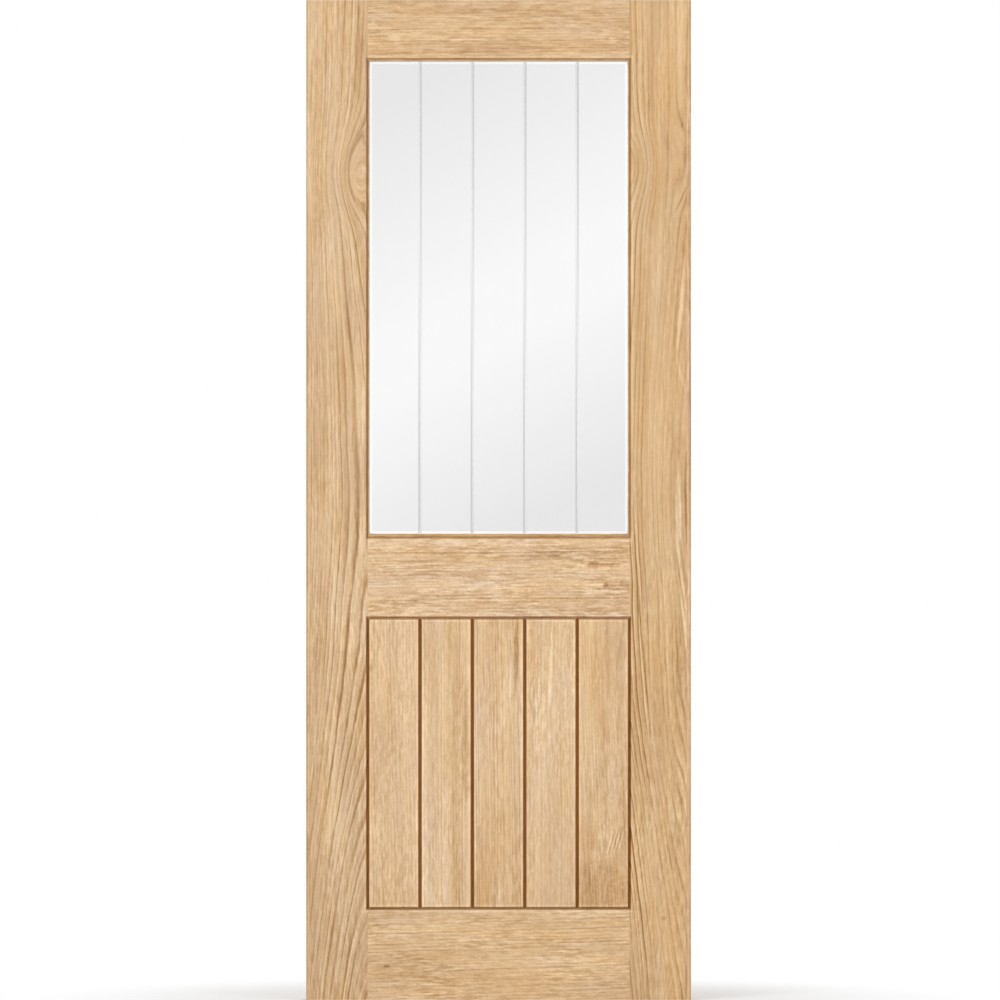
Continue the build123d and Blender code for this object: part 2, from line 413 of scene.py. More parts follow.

# How each member was cut from its tree, in mm. Its grain runs up, or along X where "grain" says X.
# - "centre" and "depth": the pith's place beside the face and behind it, which wander along the
#   grain. "years" counts the rings out to a distance from the pith, "pitch" is one ring's width.
# - "knots" draw the rings in round themselves, and "warps" bend only the streaks: across, along,
#   reach, half width, half length. "core" is the ring where the heart of a knot begins.
# - "rings", "inner", "streaks", "dashes", "broad", "flecks": how clearly each layer shows. "rings"
#   may change across the member, and "clear" changes rings, streaks and dashes along it.
# - "calm" spots, round which the rings show less, or more where the amount is below 0: across,
#   along, amount, half width, half length. "drift" is how far the grain wanders.
# - "marks": dark or pale streaks of their own: across, along, half width, half length, lean, tone.
# - "arris": the X of the edge that a lipping darkens towards, as painted shade on its rounded edge.
#   "outlines": the openings beside which a member has a paler rim, a painted highlight along the
#   arris, whose tone is "rim".
CUTS = {
    "left_stile": dict(
        centre=[
            (0, 135), (330, 152), (660, 161), (990, 160), (1320, 173), (1650, 185), (1981, 185),
        ],
        depth=[
            (0, 25), (150, 51), (300, 73), (450, 97), (600, 112), (780, 124), (960, 133),
            (1140, 127), (1300, 117), (1440, 102), (1560, 88), (1680, 78), (1800, 86), (1981, 95),
        ],
        years=[
            (0, 0), (60, 6.3), (100, 10.1), (145, 15.3), (160, 17.1), (180, 20.6), (200, 25),
            (220, 30.6), (300, 63),
        ],
        knots=[(85, 1638, -15, 45, 66), (99, 1636, -17.5, 25, 88)],
        core=97.0,
        inner=1.35,
        broad=0.8,
        rings=[(0, 0.65), (50, 0.78), (80, 0.98), (122, 0.98)],
        calm=[
            (112, 95, 0.72, 26, 130), (60, 1690, 0.3, 40, 200), (90, 1630, -0.6, 22, 100),
            (70, 60, -0.25, 30, 140), (112, 1180, 0.35, 30, 170), (20, 330, 0.35, 20, 120),
        ],
        clear=[
            (0, 1.15), (230, 1.05), (600, 1.08), (800, 1.18), (960, 0.95), (1100, 0.82),
            (1300, 0.78), (1450, 0.85), (1650, 0.9), (1850, 0.8), (1981, 0.75),
        ],
        marks=[
            (107, 1900, 9, 90, 0.0, -0.14),
            (104, 1830, 7, 60, 0.0, -0.10),
            (106, 1642, 8, 24, 0.0, -0.12),
            (114, 1704, 5, 12, 0.0, -0.20),
            (113, 1572, 5, 14, 0.0, -0.16),
            (113, 1170, 4.5, 62, 0.0, 0.30),
            (117, 1050, 3.5, 45, 0.0, -0.24),
            (50, 1292, 4, 9, 0.0, -0.12),
        ],
        outlines=[PANEL_OUTLINE],
        seed=11,
    ),
    "right_stile": dict(
        centre=[
            (0, 880), (330, 873), (660, 830), (990, 825), (1320, 819), (1650, 817), (1981, 805),
        ],
        depth=[
            (0, 200), (150, 183), (300, 167), (450, 161), (600, 164), (780, 165), (960, 155),
            (1140, 160), (1300, 168), (1440, 175), (1560, 178), (1680, 181), (1800, 185),
            (1981, 189),
        ],
        years=[(0, 0), (300, 46)],
        knots=[
            (654, 1648, 17, 40, 71), (750, 1671, 9.7, 18.6, 102), (750, 367, 6.5, 14.6, 300),
        ],
        rings=[(640, 1.15), (675, 0.8), (700, 0.45), (725, 0.5), (740, 0.8), (762, 0.8)],
        calm=[
            (740, 560, 0.5, 26, 120), (648, 340, -0.45, 22, 170), (650, 740, -0.4, 22, 180),
            (690, 600, 0.25, 24, 200),
        ],
        inner=0.8,
        streaks=0.88,
        dashes=0.82,
        broad=1.15,
        clear=[
            (0, 1.15), (120, 1.25), (330, 1.5), (560, 1.2), (780, 1.15), (1000, 0.85),
            (1300, 0.78), (1650, 0.75), (1981, 0.75),
        ],
        marks=[
            (742, 1370, 5, 105, 0.082, 0.25),
            (742, 1240, 4, 40, -0.235, 0.20),
            (734, 1380, 2.5, 90, 0.082, -0.2),
            (740, 405, 2, 85, -0.157, -0.26),
            (746, 415, 2, 80, -0.157, 0.18),
            (731, 370, 2, 70, -0.157, -0.20),
            (656, 830, 2.2, 140, -0.07, -0.30),
            (660.5, 830, 2.2, 150, -0.07, 0.28),
            (667, 640, 2.2, 150, -0.085, 0.26),
            (671.5, 640, 2.2, 150, -0.085, -0.26),
            (737, 960, 7, 120, 0.0, 0.42),
            (749, 770, 6, 130, -0.09, 0.36),
            (753, 955, 2.5, 110, -0.035, -0.34),
            (742, 821, 2.6, 95, -0.15, -0.36),
            (745, 586, 1.8, 65, -0.28, -0.20),
            (743, 1587, 3, 28, 0.45, -0.30),
            (745, 1733, 3, 6, 0.0, -0.16),
            (749, 1752, 9, 42, 0.0, -0.10),
            (750, 1672, 8, 22, 0.0, -0.12),
            (708, 162, 5, 5, 0.0, -0.22),
            (716, 1700, 7, 26, 0.0, -0.10),
        ],
        outlines=[PANEL_OUTLINE, GLAZING_OUTLINE],
        seed=23,
    ),
    "left_edge_lipping": dict(
        centre=[(0, -200), (1981, -190)],
        depth=[(0, 60), (1981, 70)],
        pitch=5,
        rings=0.5,
        inner=0.7,
        streaks=0.85,
        dashes=0.85,
        arris=0.0,
        seed=31,
    ),
    "right_edge_lipping": dict(
        centre=[(0, 940), (1981, 930)],
        depth=[(0, 70), (1981, 60)],
        pitch=5,
        rings=0.5,
        inner=0.7,
        arris=762.0,
        seed=37,
    ),
    "top_rail": dict(
        grain="X",
        centre=[(0, 1560), (762, 1566)],
        depth=[(0, 90), (762, 80)],
        pitch=6,
        rings=0.45,
        dashes=1.75,
        streaks=1.15,
        drift=2.5,
        clear=[(0, 1.0), (121, 1.0), (260, 0.86), (400, 0.72), (640, 0.8), (762, 0.8)],
        outlines=[PANEL_OUTLINE, GLAZING_OUTLINE],
        seed=41,
    ),
    "middle_rail": dict(
        grain="X",
        centre=[(0, 1130), (762, 1142)],
        depth=[(0, 80), (762, 60)],
        pitch=6,
        rings=0.45,
        streaks=0.8,
        dashes=1.95,
        flecks=2.2,
        drift=2.5,
        clear=[(0, 0.9), (121, 0.9), (400, 0.88), (600, 1.0), (762, 1.0)],
        marks=[
            (822, 593, 4, 6, 0.0, -0.55),
            (864, 585, 2.5, 50, 0.0, -0.30),
            (868, 590, 12, 60, 0.0, -0.10),
            (868, 225, 3, 40, 0.0, -0.12),
            (880, 470, 2.5, 60, 0.0, -0.18),
            (800, 215, 3, 25, 0.0, 0.15),
            (792, 330, 2, 80, 0.0, 0.20),
        ],
        outlines=[PANEL_OUTLINE, GLAZING_OUTLINE],
        # A fainter painted highlight rim along this rail's arrises
        rim=0.06,
        seed=47,
    ),
    "bottom_rail": dict(
        grain="X",
        centre=[(0, -230), (762, -215)],
        depth=[(0, 120), (762, 90)],
        pitch=6,
        rings=0.45,
        dashes=1.5,
        streaks=0.8,
        broad=0.65,
        flecks=1.8,
        drift=2.5,
        marks=[
            (109, 165, 3, 48, 0.0, -0.26),
            (67, 159, 3, 7, 0.0, -0.42),
        ],
        outlines=[PANEL_OUTLINE, GLAZING_OUTLINE],
        seed=53,
    ),
    "panel_board_1": dict(
        centre=[(0, -60), (981, -90)],
        depth=[(0, 90), (981, 70)],
        pitch=6,
        streaks=0.5,
        dashes=1.15,
        rings=0.34,
        broad=0.6,
        flecks=1.5,
        drift=4.0,
        marks=[(127, 658, 5, 9, 0.0, -0.20)],
        seed=59,
    ),
    "panel_board_2": dict(
        centre=[(0, 520), (981, 510)],
        depth=[(0, 60), (981, 90)],
        pitch=6,
        streaks=0.62,
        dashes=0.95,
        rings=0.4,
        broad=1.4,
        drift=4.0,
        marks=[(316, 500, 9, 150, 0.0, -0.20)],
        seed=61,
    ),
    "panel_board_3": dict(
        centre=[(0, 130), (981, 120)],
        depth=[(0, 60), (981, 60)],
        pitch=6,
        streaks=0.78,
        dashes=1.1,
        rings=0.6,
        broad=1.5,
        drift=4.0,
        marks=[
            (416, 680, 5, 80, 0.02, -0.34),
            (425, 680, 2, 90, 0.0, 0.2),
            (405, 640, 2.5, 70, 0.03, 0.2),
        ],
        seed=67,
    ),
    "panel_board_4": dict(
        centre=[(0, 700), (981, 712)],
        depth=[(0, 110), (981, 80)],
        pitch=6,
        streaks=0.65,
        dashes=1.3,
        rings=0.38,
        broad=0.85,
        drift=4.0,
        clear=[(0, 0.65), (200, 0.65), (330, 0.68), (500, 0.88), (700, 1.02), (981, 1.0)],
        marks=[(484, 655, 4, 90, 0.03, 0.26)],
        seed=71,
    ),
    "panel_board_5": dict(
        centre=[(0, 330), (981, 300)],
        depth=[(0, 60), (981, 100)],
        pitch=6,
        streaks=0.65,
        dashes=1.15,
        rings=0.4,
        broad=1.25,
        flecks=1.5,
        drift=4.0,
        warps=[(640, 225, -26, 30, 80)],
        clear=[(0, 1.05), (200, 1.05), (480, 1.0), (620, 0.75), (700, 0.7), (981, 0.7)],
        marks=[
            (588, 222, 60, 60, 0.0, -0.17),
            (601, 309, 1.7, 24, 0.27, 0.24),
            (605, 311, 1.7, 24, 0.27, -0.24),
            (609, 313, 1.7, 26, 0.27, 0.24),
            (613, 315, 1.7, 26, 0.27, -0.24),
            (617, 317, 1.7, 26, 0.27, 0.24),
            (621, 319, 1.7, 24, 0.27, -0.24),
            (625, 321, 1.7, 22, 0.27, 0.22),
        ],
        seed=73,
    ),
}
for index in range(BOARDS):
    left = OPENING_X[0] + index * BOARD_PITCH_MM
    CUTS[f"panel_board_{index + 1}"]["outlines"] = [((left, left + BOARD_PITCH_MM), PANEL_Z)]

# Each member's own colour against the common oak
TINTS = {
    "left_stile": (0.964, 0.932, 0.960, 1),
    "right_stile": (0.950, 0.882, 0.823, 1),
    "left_edge_lipping": (0.983, 0.958, 0.957, 1),
    "right_edge_lipping": (0.993, 0.933, 0.925, 1),
    "top_rail": (0.923, 0.861, 0.842, 1),
    "middle_rail": (1.031, 1.005, 1.071, 1),
    "bottom_rail": (1.047, 1.017, 1.027, 1),
    "panel_board_1": (1.055, 1.034, 1.089, 1),
    "panel_board_2": (1.088, 1.087, 1.168, 1),
    "panel_board_3": (0.996, 0.945, 0.962, 1),
    "panel_board_4": (1.044, 1.021, 1.062, 1),
    "panel_board_5": (1.026, 0.982, 0.991, 1),
}
# The beads are darker than the frame, most at the bottom, as painted shade in the glazing's recess:
# what that adds to their tone
BEAD_SHADE_TONES = {"top": -0.1, "bottom": -0.22, "left": -0.15, "right": -0.15}

# How much of the dark stain lies on each kind of face: partly the joints' own colour, partly painted
# shade in the grooves, with the upright flanks darker than the level ones as painted shade for light
# from above
FLANK_STAIN_AND_SHADE = {
    "face": 0.0,
    "panel_upright": 0.94,
    "panel_level": 0.63,
    "glazing_upright": 0.62,
    "glazing_level": 0.38,
}
# Depths under the face, in mm, and the stain's share at each: thinner by the arris and full below,
# as painted shade deeper in the groove
STAIN_SHADE_DEPTHS = (0.2, 1.7)
STAIN_SHADE_SHARES = (0.60, 1.06)

# The paler rim, a painted highlight along the openings' arrises, ends between these distances from
# an opening's outline, in mm
HIGHLIGHT_RIM_MM = (6.2, 9.4)
HIGHLIGHT_RIM_TONE = 0.15
# A lipping's rounded arris is darker, as painted shade, fading between these distances from it, in
# mm
ARRIS_SHADE_MM = (1.5, 4.5)
ARRIS_SHADE_TONE = -0.28

# What the curves' values run to
CENTRE_SCALE = 1000.0
DEPTH_SCALE = 200.0
YEARS_SCALE = 100.0
CLEAR_SCALE = 2.0

# Each member lies elsewhere in the noise: its seed times these, across, through and along
SEED_STEPS = (137.0, 61.0, 911.0)
DRIFT_WAVES = (0.011, 0.011, 0.005)
DRIFT_MM = 9.0
# Rings waver: waves across and through, waves along, and reach in mm
WAVERS = (((0.03, 0.03, 0.006), 2.5), ((0.15, 0.15, 0.02), 0.9))
# Years are of uneven width: waves to a mm, and reach in mm
UNEVEN_WAVES = 0.05
UNEVEN_MM = 6.0
UNEVEN_SLICE = 7.7

# Streaks bend out round a knot by this share of what draws its rings in
KNOT_PULL = -1.3
# How near a knot's middle its heart begins to show, and its dark outline
HEART_NEAR = (0.15, 0.45)
OUTLINE_NEAR = (0.25, 0.7)
# The outline's place past the heart's ring, and where its width fades, in mm
OUTLINE_PAST = 1.2
OUTLINE_FADES = (0.6, 2.2)
OUTLINE_TONE = -0.30
# The rings show less inside a knot
KNOT_CALM_NEAR = (0.2, 1.4)
KNOT_RINGS = 0.75

# A mark's edge is ragged, by noise of these waves, and it fades from its core out to its end.
# A mark of less than this half length is less ragged and has a clearer core
RAGGED_WAVES = (0.2, 0.2, 0.03)
RAGGED = 0.8
MARK_CORE = 0.0
MARK_END = 1.2
SMALL_MARK_MM = 10
SMALL_RAGGED = 0.3
SMALL_CORE = 0.3

OAK_BUMP = 0.6
OAK_BUMP_DISTANCE = 0.00012
OAK_SPECULAR = 0.4
STAINED_SPECULAR = 0.15


def highlight_rim_nearness(t, x, z, outlines):
    """How far a point lies in the paler rim, a painted highlight along the arris, from 0 to 1."""
    nearest = None
    for (x_low, x_high), (z_low, z_high) in outlines:
        aside = t.math("MAXIMUM", t.sub(x_low, x), t.sub(x, x_high))
        above = t.math("MAXIMUM", t.sub(z_low, z), t.sub(z, z_high))
        away = t.math("ABSOLUTE", t.math("MAXIMUM", aside, above))
        nearest = away if nearest is None else t.math("MINIMUM", nearest, away)
    return t.map_range(nearest, *HIGHLIGHT_RIM_MM, 1.0, 0.0)


def stain_and_shade_by_depth(t, y, stain_and_shade):
    """The stain on a V-joint's flank, with painted shade: thin by the arris, full in the depth."""
    sunk = t.sub(FACE_MM, t.math("ABSOLUTE", y))
    thin, full = (min(1.0, stain_and_shade * share) for share in STAIN_SHADE_SHARES)
    return t.map_range(sunk, *STAIN_SHADE_DEPTHS, thin, full)


def swelling(t, across, along, spot):
    """How near a point is to a spot: 1 there, 0 afar.

    A spot is across, along, amount, half width and half length.
    """
    a = t.mul(t.sub(across, spot[0]), 1 / spot[3])
    b = t.mul(t.sub(along, spot[1]), 1 / spot[4])
    return t.math("EXPONENT", t.mul(t.add(t.mul(a, a), t.mul(b, b)), -1.0))


def with_marks(t, tone, marks, across, along, own_place):
    """The tone with dark or pale streaks of their own laid over it."""
    ragged = t.drawn_noise(own_place, RAGGED_WAVES)
    for mark_across, mark_along, half_width, half_length, lean, mark_tone in marks:
        small = half_length < SMALL_MARK_MM
        raggedness, core = (SMALL_RAGGED, SMALL_CORE) if small else (RAGGED, MARK_CORE)
        b = t.sub(along, mark_along)
        a = t.sub(t.sub(across, mark_across), t.mul(b, lean))
        a = t.mul(a, 1 / half_width)
        b = t.mul(b, 1 / half_length)
        spread = t.mul_add(ragged, raggedness, t.add(t.mul(a, a), t.mul(b, b)))
        tone = t.mul_add(t.map_range(spread, core, MARK_END, 1.0, 0.0), mark_tone, tone)
    return tone


def oak_material(name, cut, stain_and_shade, tone, tint):
    """A satin-lacquered oak material for one member."""
    material, t = new_material(name)
    split = t.node("ShaderNodeSeparateXYZ")
    t.feed(split.inputs[0], t.place())
    x, y, z = (t.mul(split.outputs[i], 1000.0) for i in range(3))
    across, along = (z, x) if cut.get("grain") == "X" else (x, z)
    seed = float(cut["seed"])

    # The distance from the pith, drawn in round the knots, and the streaks' course round them
    length = cut["centre"][-1][0]
    side = t.sub(across, t.curve(along, cut["centre"], length, CENTRE_SCALE))
    behind = t.sub(t.add(y, FACE_MM), t.curve(along, cut["depth"], length, DEPTH_SCALE))
    ring = t.math("SQRT", t.add(t.mul(side, side), t.mul(behind, behind)))
    near_knot, flow = None, across
    for knot in cut.get("knots", ()):
        swell = swelling(t, across, along, knot)
        ring = t.mul_add(swell, knot[2], ring)
        near_knot = swell if near_knot is None else t.add(near_knot, swell)
        flow = t.mul_add(swell, knot[2] * KNOT_PULL, flow)
    for warp in cut.get("warps", ()):
        flow = t.mul_add(swelling(t, across, along, warp), warp[2], flow)

    # The member's own place in the noise
    own_through = t.add(y, seed * SEED_STEPS[1])
    own_along = t.add(along, seed * SEED_STEPS[2])
    drift = t.drawn_noise((across, own_through, own_along), DRIFT_WAVES, 1.0)
    own_across = t.add(flow, seed * SEED_STEPS[0])
    own_across = t.mul_add(drift, cut.get("drift", DRIFT_MM), own_across)
    own_place = (own_across, own_through, own_along)

    # The year that a point grew in
    for waves, reach in WAVERS:
        ring = t.mul_add(t.drawn_noise(own_place, waves), reach, ring)
    uneven = t.noise(t.vector(t.mul(ring, UNEVEN_WAVES), seed, UNEVEN_SLICE), 1.0)
    aged = t.mul_add(uneven, UNEVEN_MM, ring)
    if "core" in cut:
        outline = t.math("ABSOLUTE", t.sub(aged, cut["core"] + OUTLINE_PAST))
        outline = t.map_range(outline, *OUTLINE_FADES, 1.0, 0.0)
        outline = t.mul(outline, t.map_range(near_knot, *OUTLINE_NEAR))
        tone = t.mul_add(outline, OUTLINE_TONE, tone)
        heart = t.mul(t.map_range(near_knot, *HEART_NEAR), cut["core"])
        aged = t.math("MAXIMUM", aged, heart)
    if "years" in cut:
        year = t.curve(aged, cut["years"], cut["years"][-1][0], YEARS_SCALE)
    else:
        year = t.mul(aged, 1 / cut["pitch"])

    # How clearly the rings and streaks show
    rings, streaks, dashes = cut["rings"], cut.get("streaks", 1.0), cut.get("dashes", 1.0)
    if not isinstance(rings, float):
        rings = t.curve(across, rings, rings[-1][0], 1.0)
    if near_knot is not None:
        rings = t.mul(rings, t.map_range(near_knot, *KNOT_CALM_NEAR, 1.0, KNOT_RINGS))
    if "clear" in cut:
        clear = t.curve(along, cut["clear"], length, CLEAR_SCALE)
        rings, streaks, dashes = (t.mul(clear, given) for given in (rings, streaks, dashes))
    for calm in cut.get("calm", ()):
        rings = t.mul(rings, t.mul_add(swelling(t, across, along, calm), -calm[2], 1.0))

    if "marks" in cut:
        tone = with_marks(t, tone, cut["marks"], across, along, own_place)
    # Painted shade on a lipping's rounded arris
    if "arris" in cut:
        inward = t.math("ABSOLUTE", t.sub(x, cut["arris"]))
        tone = t.mul_add(t.map_range(inward, *ARRIS_SHADE_MM, 1.0, 0.0), ARRIS_SHADE_TONE, tone)
    # A paler rim beside the openings: a painted highlight along the arris
    if "outlines" in cut:
        rim = highlight_rim_nearness(t, x, z, cut["outlines"])
        tone = t.mul_add(rim, cut.get("rim", HIGHLIGHT_RIM_TONE), tone)

    oak = t.node("ShaderNodeGroup", node_tree=oak_group)
    for socket, value in (
        ("Year", year),
        ("Ring", ring),
        ("Across", own_across),
        ("Through", own_through),
        ("Along", own_along),
        ("Ring Strength", rings),
        ("Inner", cut.get("inner", cut.get("streaks", 1.0))),
        ("Streaks", streaks),
        ("Dashes", dashes),
        ("Broad", cut.get("broad", 1.0)),
        ("Flecks", cut.get("flecks", 1.0)),
        ("Tone", tone),
        ("Stain And Shade", stain_and_shade_by_depth(t, y, stain_and_shade) if stain_and_shade else 0.0),
        ("Tint", tint),
    ):
        t.feed(oak.inputs[socket], value)
    shader = t.node("ShaderNodeBsdfPrincipled")
    shader.inputs["Specular IOR Level"].default_value = STAINED_SPECULAR if stain_and_shade else OAK_SPECULAR
    t.feed(shader.inputs["Base Color"], oak.outputs["Color"])
    t.feed(shader.inputs["Roughness"], oak.outputs["Roughness"])
    t.feed(shader.inputs["Normal"], t.bump(oak.outputs["Height"], OAK_BUMP, OAK_BUMP_DISTANCE))
    t.finish(shader)
    return material


# Pieces

# How far sharp edges are eased
MEMBER_EASE = 0.0004
TRIM_EASE = 0.0003
EASE_SEGMENTS = 2
EASE_ANGLE = math.radians(25)
# Faces that meet at less than this are joined into one
FLAT_ANGLE = math.radians(1.0)
WELD = 1e-6
# The Y of a V-joint flank's normal, between these
FLANK_NORMAL = (0.6, 0.8)
# How much of the flanks' stain and painted shade the beads take
BEAD_STAIN_SHADE_SHARE = 0.5
# A bead's pith, in mm: how far aside, how far that wanders, and how deep
BEAD_PITH_ASIDE = 90
BEAD_PITH_WANDERS = 6
BEAD_PITH_DEPTH = (60, 70)
BEAD_REACH = 2000
BEAD_SEEDS = {"front": 80, "back": 90}


def eased_copy(node, name):
    """A new object with a node's faces, its flat parts joined."""
    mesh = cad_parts[node].data.copy()
    mesh.name = name
    mesh.materials.clear()
    work = bmesh.new()
    work.from_mesh(mesh)
    bmesh.ops.remove_doubles(work, verts=work.verts, dist=WELD)
    bmesh.ops.dissolve_limit(work, angle_limit=FLAT_ANGLE, verts=work.verts, edges=work.edges)
    work.to_mesh(mesh)
    work.free()
    piece = bpy.data.objects.new(name, mesh)
    bpy.context.scene.collection.objects.link(piece)
    return piece


def settle(piece, width):
    """Round a piece's sharp edges for good."""
    bevel = piece.modifiers.new("ease", "BEVEL")
    bevel.width = width
    bevel.segments = EASE_SEGMENTS
    bevel.limit_method = "ANGLE"
    bevel.angle_limit = EASE_ANGLE
    bevel.harden_normals = False
    bevel.material = -1
    graph = bpy.context.evaluated_depsgraph_get()
    mesh = bpy.data.meshes.new_from_object(piece.evaluated_get(graph))
    piece.modifiers.clear()
    piece.data = mesh
    for polygon in mesh.polygons:
        polygon.use_smooth = False


def face_kind(polygon):
    """What finish a face takes: plain, or that of a V-joint's flank, at 45 degrees to the leaf, with
    its stain and painted shade.
    """
    if not FLANK_NORMAL[0] < abs(polygon.normal.y) < FLANK_NORMAL[1]:
        return "face"
    middle_rail_z = (PANEL_Z[1] + GLAZING_Z[0]) / 2 / 1000
    opening = "glazing" if polygon.center.z > middle_rail_z else "panel"
    direction = "upright" if abs(polygon.normal.x) > 0.5 else "level"
    return f"{opening}_{direction}"


def dress_oak(node, cut, ease=MEMBER_EASE, stain_shade_share=1.0, tone=0.0):
    """Replace a node by an eased piece in oak, with its V-joint flanks darker by stain and painted
    shade.
    """
    piece = eased_copy(node, f"{node}_oak")
    kinds = [face_kind(polygon) for polygon in piece.data.polygons]
    used = [kind for kind in FLANK_STAIN_AND_SHADE if kind in kinds]
    tint = TINTS.get(node, grey(1.0))
    for kind in used:
        stain_and_shade = FLANK_STAIN_AND_SHADE[kind] * stain_shade_share
        piece.data.materials.append(oak_material(f"{node}_{kind}", cut, stain_and_shade, tone, tint))
    for polygon, kind in zip(piece.data.polygons, kinds):
        polygon.material_index = used.index(kind)
    settle(piece, ease)
    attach(piece, "root")
    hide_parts(node)


for node, cut in CUTS.items():
    dress_oak(node, cut)

for face_name, first_seed in BEAD_SEEDS.items():
    for number, (place, tone) in enumerate(BEAD_SHADE_TONES.items()):
        node = f"{face_name}_bead_{place}"
        level = place in ("top", "bottom")
        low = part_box(node)[0]
        pith = (low[2] if level else low[0]) * 1000 - BEAD_PITH_ASIDE
        cut = dict(
            grain="X" if level else "Z",
            centre=[(0, pith), (BEAD_REACH, pith + BEAD_PITH_WANDERS)],
            depth=[(0, BEAD_PITH_DEPTH[0]), (BEAD_REACH, BEAD_PITH_DEPTH[1])],
            pitch=5,
            rings=0.5,
            seed=first_seed + number,
        )
        dress_oak(node, cut, TRIM_EASE, BEAD_STAIN_SHADE_SHARE, tone)


# Pane and seal

PANE_TINT = (0.832, 0.83, 0.83, 1.0)
BORDER_TINT = (0.965, 0.965, 0.97, 1.0)
CUT_TINT = grey(0.53)
CUT_ROUGHNESS = 0.08
CUT_IOR = 1.75
GLASS_IOR = 1.5
# Width of the brighter border that shows round the pane, just inside its seal
BORDER = 0.0052
# Where the normal of a V-cut line's flank lies
CUT_NORMAL_Y = 0.85
CUT_NORMAL_X = 0.05
SEAL_COLOURS = [(0.3, (0.94, 0.94, 0.93, 1)), (0.7, (0.97, 0.97, 0.96, 1))]
SEAL_GRAIN = 900.0
SEAL_ROUGHNESS = 0.55
SEAL_BUMP = 0.3
SEAL_BUMP_DISTANCE = 0.00005


def glass_material(name, colour, roughness=0.0, ior=GLASS_IOR):
    """Glass that lets the lamps' light through, with no dark shadow behind it."""
    material, t = new_material(name)
    shader = t.node("ShaderNodeBsdfPrincipled")
    shader.inputs["Base Color"].default_value = colour
    shader.inputs["Transmission Weight"].default_value = 1.0
    shader.inputs["Roughness"].default_value = roughness
    shader.inputs["IOR"].default_value = ior
    clear = t.node("ShaderNodeBsdfTransparent")
    clear.inputs["Color"].default_value = colour
    shadow = t.node("ShaderNodeLightPath").outputs["Is Shadow Ray"]
    t.finish(t.mix_shader(shadow, shader, clear))
    return material


def seal_material():
    """A white rubbery strip."""
    material, t = new_material("seal")
    grain = t.noise(t.place(), 3.0, 0.6, SEAL_GRAIN)
    shader = t.node("ShaderNodeBsdfPrincipled")
    shader.inputs["Roughness"].default_value = SEAL_ROUGHNESS
    t.feed(shader.inputs["Base Color"], t.ramp(t.mul_add(grain, 0.5, 0.5), SEAL_COLOURS))
    t.feed(shader.inputs["Normal"], t.bump(grain, SEAL_BUMP, SEAL_BUMP_DISTANCE))
    t.finish(shader)
    return material


pane = eased_copy("glass_pane", "glass_pane_clear")
pane.data.materials.append(glass_material("pane_clear", PANE_TINT))
pane.data.materials.append(glass_material("pane_cut", CUT_TINT, CUT_ROUGHNESS, CUT_IOR))
pane.data.materials.append(glass_material("pane_border", BORDER_TINT))
inner_x = (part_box("front_bead_left")[1][0] + BORDER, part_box("front_bead_right")[0][0] - BORDER)
inner_z = (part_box("front_bead_bottom")[1][2] + BORDER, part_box("front_bead_top")[0][2] - BORDER)
work = bmesh.new()
work.from_mesh(pane.data)
for limits, direction in ((inner_x, (1, 0, 0)), (inner_z, (0, 0, 1))):
    for limit in limits:
        point = [limit * axis for axis in direction]
        parts = work.verts[:] + work.edges[:] + work.faces[:]
        bmesh.ops.bisect_plane(work, geom=parts, plane_co=point, plane_no=direction, dist=WELD)
work.to_mesh(pane.data)
work.free()
PANE_CLEAR, PANE_CUT, PANE_BORDER = range(3)
for polygon in pane.data.polygons:
    centre, normal = polygon.center, polygon.normal
    if abs(normal.y) > CUT_NORMAL_Y and abs(normal.x) > CUT_NORMAL_X:
        polygon.material_index = PANE_CUT
    elif inner_x[0] < centre.x < inner_x[1] and inner_z[0] < centre.z < inner_z[1]:
        polygon.material_index = PANE_CLEAR
    else:
        polygon.material_index = PANE_BORDER
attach(pane, "root")
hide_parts("glass_pane")

white_seal = seal_material()
for face_name in ("front", "back"):
    node = f"{face_name}_glazing_seal"
    piece = eased_copy(node, f"{node}_strip")
    piece.data.materials.append(white_seal)
    settle(piece, TRIM_EASE)
    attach(piece, "root")
    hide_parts(node)


# Stage

FLOOR_HALF = 30.0
FLOOR_COLOUR = grey(0.86)
# The floor shows its shadows near the leaf and turns white between these distances
FLOOR_FADE = (0.4, 1.0)
# What the world lights the leaf with, and what the camera sees of it
WORLD_LIGHT = 0.5
WORLD_SEEN = 1.0


def stage_sheet(name, corners, material):
    """One flat face of the studio, which isn't part of the door."""
    mesh = bpy.data.meshes.new(name)
    mesh.from_pydata(corners, [], [tuple(range(len(corners)))])
    mesh.update()
    mesh.materials.append(material)
    made = bpy.data.objects.new(name, mesh)
    bpy.context.scene.collection.objects.link(made)
    return made


floor_material, t = new_material("floor_pale")
away = t.node("ShaderNodeVectorMath", operation="DISTANCE")
t.feed(away.inputs[0], t.place())
away.inputs[1].default_value = (MIDDLE_X, 0, 0)
fade = t.map_range(away.outputs["Value"], *FLOOR_FADE)
plain = t.node("ShaderNodeBsdfDiffuse")
plain.inputs["Color"].default_value = FLOOR_COLOUR
white = t.node("ShaderNodeEmission")
white.inputs["Strength"].default_value = 1.0
t.finish(t.mix_shader(t.mul(fade, t.seen()), plain, white))
floor_sides = ((-1, -1), (1, -1), (1, 1), (-1, 1))
stage_sheet("floor", [(x * FLOOR_HALF, y * FLOOR_HALF, 0) for x, y in floor_sides], floor_material)

world = bpy.data.worlds.new("studio")
bpy.context.scene.world = world
world.use_nodes = True
world.node_tree.nodes.clear()
t = Tree(world.node_tree)
background = t.node("ShaderNodeBackground")
background.inputs["Color"].default_value = grey(1.0)
strength = t.map_range(t.seen(), 0.0, 1.0, WORLD_LIGHT, WORLD_SEEN, smooth=False)
t.feed(background.inputs["Strength"], strength)
t.finish(background, "ShaderNodeOutputWorld")


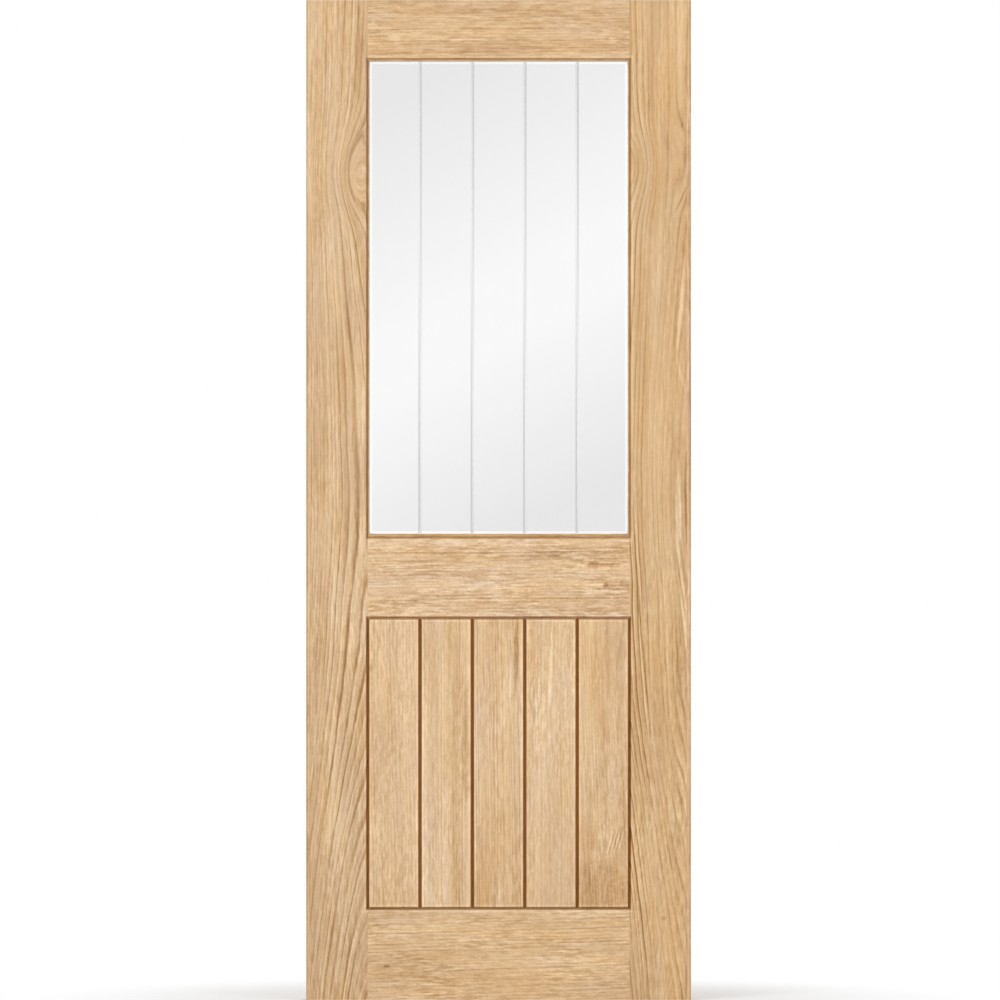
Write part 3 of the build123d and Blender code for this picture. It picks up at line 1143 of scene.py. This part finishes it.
# Lamps, the same before and behind the leaf

LAMP_SIZE = 2.4
LAMP_TARGET = (MIDDLE_X, 0.0, LEAF_HEIGHT / 2)
KEY_POWER = 130
FILL_POWER = 75


def lamp(name, place, power):
    data = bpy.data.lights.new(name, "AREA")
    data.shape = "RECTANGLE"
    data.size = data.size_y = LAMP_SIZE
    data.energy = power
    made = bpy.data.objects.new(name, data)
    bpy.context.scene.collection.objects.link(made)
    made.location = place
    towards = Vector(LAMP_TARGET) - Vector(place)
    made.rotation_euler = towards.to_track_quat("-Z", "Y").to_euler()


lamp("key", (-2.6, -4.6, 4.4), KEY_POWER)
lamp("fill", (3.6, -4.6, 3.0), FILL_POWER)
lamp("key_behind", (3.4, 4.6, 4.4), KEY_POWER)
lamp("fill_behind", (-2.8, 4.6, 3.0), FILL_POWER)


# A softly graded card in front of the leaf, seen only in its pane, as a studio's wall would be

CARD_Y = -6.0
CARD_HALF_WIDTH = 2.4
CARD_LOW, CARD_HIGH = -0.4, 2.6
CARD_STRENGTH = 3.6
# The pale band's middle height and half width, and how it slants: rise to the side, and how far
BAND_MIDDLE = 1.51
BAND_HALF = 0.8
BAND_SLANT = -0.5
BAND_SLANT_REACH = 0.45
BAND_GREYS = [(0.0, 0.02), (0.12, 0.04), (0.42, 1.0), (0.53, 1.0), (0.9, 0.08), (1.0, 0.02)]

card_material, t = new_material("reflector_graded")
split = t.node("ShaderNodeSeparateXYZ")
t.feed(split.inputs[0], t.place())
aside = t.math("MAXIMUM", t.sub(split.outputs[0], MIDDLE_X), -BAND_SLANT_REACH)
aside = t.math("MINIMUM", aside, BAND_SLANT_REACH)
slant = t.mul_add(aside, BAND_SLANT, split.outputs[2])
slant = t.map_range(slant, BAND_MIDDLE - BAND_HALF, BAND_MIDDLE + BAND_HALF, smooth=False)
band = t.ramp(slant, [(position, grey(level)) for position, level in BAND_GREYS])
glow = t.node("ShaderNodeEmission")
t.feed(glow.inputs["Strength"], t.mul(band, CARD_STRENGTH))
t.finish(glow)
card_left, card_right = MIDDLE_X - CARD_HALF_WIDTH, MIDDLE_X + CARD_HALF_WIDTH
card_corners = [
    (card_left, CARD_Y, CARD_LOW),
    (card_right, CARD_Y, CARD_LOW),
    (card_right, CARD_Y, CARD_HIGH),
    (card_left, CARD_Y, CARD_HIGH),
]
card = stage_sheet("reflector", card_corners, card_material)
card.visible_camera = False
card.visible_diffuse = False
card.visible_transmission = False
card.visible_shadow = False


# Camera

# So far away that the leaf's sides don't show, as in the photograph
CAMERA_DISTANCE = 20.0
CAMERA_ASIDE = 0.0028
CAMERA_CLIP = 200.0
SENSOR = 36.0

camera_data = bpy.data.cameras.new("camera")
camera_data.sensor_width = SENSOR
camera_data.sensor_fit = "HORIZONTAL"
camera_data.lens = SENSOR * CAMERA_DISTANCE / LEAF_HEIGHT
camera_data.clip_end = CAMERA_CLIP
camera = bpy.data.objects.new("camera", camera_data)
bpy.context.scene.collection.objects.link(camera)
camera_y = -LEAF_THICKNESS / 2 - CAMERA_DISTANCE
camera.location = (MIDDLE_X + CAMERA_ASIDE, camera_y, LEAF_HEIGHT / 2)
camera.rotation_euler = (math.radians(90), 0, 0)
bpy.context.scene.camera = camera
bpy.context.scene.view_settings.view_transform = "Standard"
